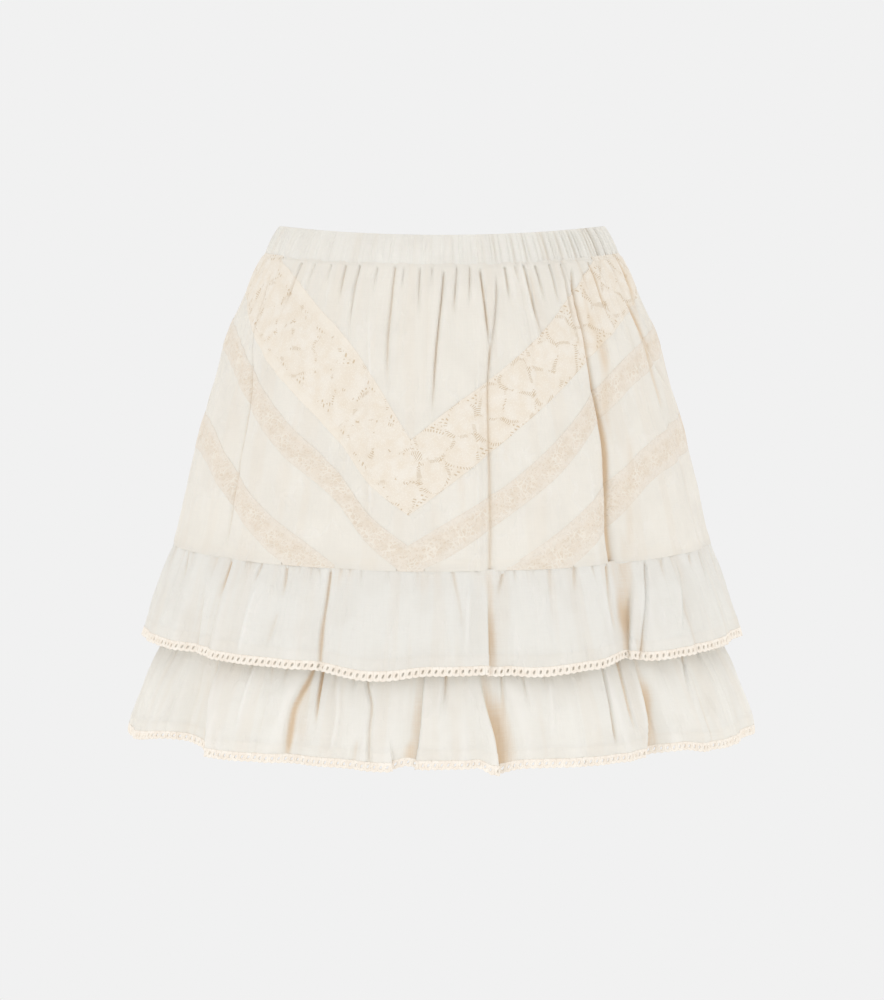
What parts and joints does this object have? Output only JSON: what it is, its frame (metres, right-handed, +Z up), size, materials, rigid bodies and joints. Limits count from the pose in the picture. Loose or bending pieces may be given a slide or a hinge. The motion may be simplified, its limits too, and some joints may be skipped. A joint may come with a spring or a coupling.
{
  "type": "tiered ruffle skirt",
  "caption": "Short hollow skirt, filled out as worn: gathered elastic waistband, body pieced with chevrons of insertion lace, tiers of gathered ruffles with crochet edges.",
  "frame": {"origin": "middle of the waist, at half the height of the waistband", "axes": "+Z up, the front faces -Y, +X is to the right of someone who faces the front"},
  "size_m": [0.4897, 0.3454, 0.3951],
  "materials": {
    "voile": "fine cotton voile, matt, slightly sheer, ivory",
    "wide_lace": "wide cotton insertion lace with petal cells and rows of small holes, warm cream",
    "narrow_lace": "narrow dense cotton insertion lace with a fine leafy texture, warm cream",
    "crochet": "cotton crochet edging with slanted holes, cream"
  },
  "bodies": {
    "root": {"waistband": "voile", "front_top_panel": "voile", "front_middle_panel": "voile", "front_wide_lace_left": "wide_lace", "front_narrow_lace_left": "narrow_lace", "front_lower_panel_left": "voile", "front_corner_lace_left": "narrow_lace", "front_corner_panel_left": "voile", "front_wide_lace_right": "wide_lace", "front_narrow_lace_right": "narrow_lace", "front_lower_panel_right": "voile", "front_corner_lace_right": "narrow_lace", "front_corner_panel_right": "voile", "back_top_panel": "voile", "back_middle_panel": "voile", "back_wide_lace_left": "wide_lace", "back_narrow_lace_left": "narrow_lace", "back_lower_panel_left": "voile", "back_corner_lace_left": "narrow_lace", "back_corner_panel_left": "voile", "back_wide_lace_right": "wide_lace", "back_narrow_lace_right": "narrow_lace", "back_lower_panel_right": "voile", "back_corner_lace_right": "narrow_lace", "back_corner_panel_right": "voile", "upper_ruffle": "voile", "upper_crochet_edge": "crochet", "under_panel": "voile", "lower_ruffle": "voile", "lower_crochet_edge": "crochet"}
  },
  "joints": []
}
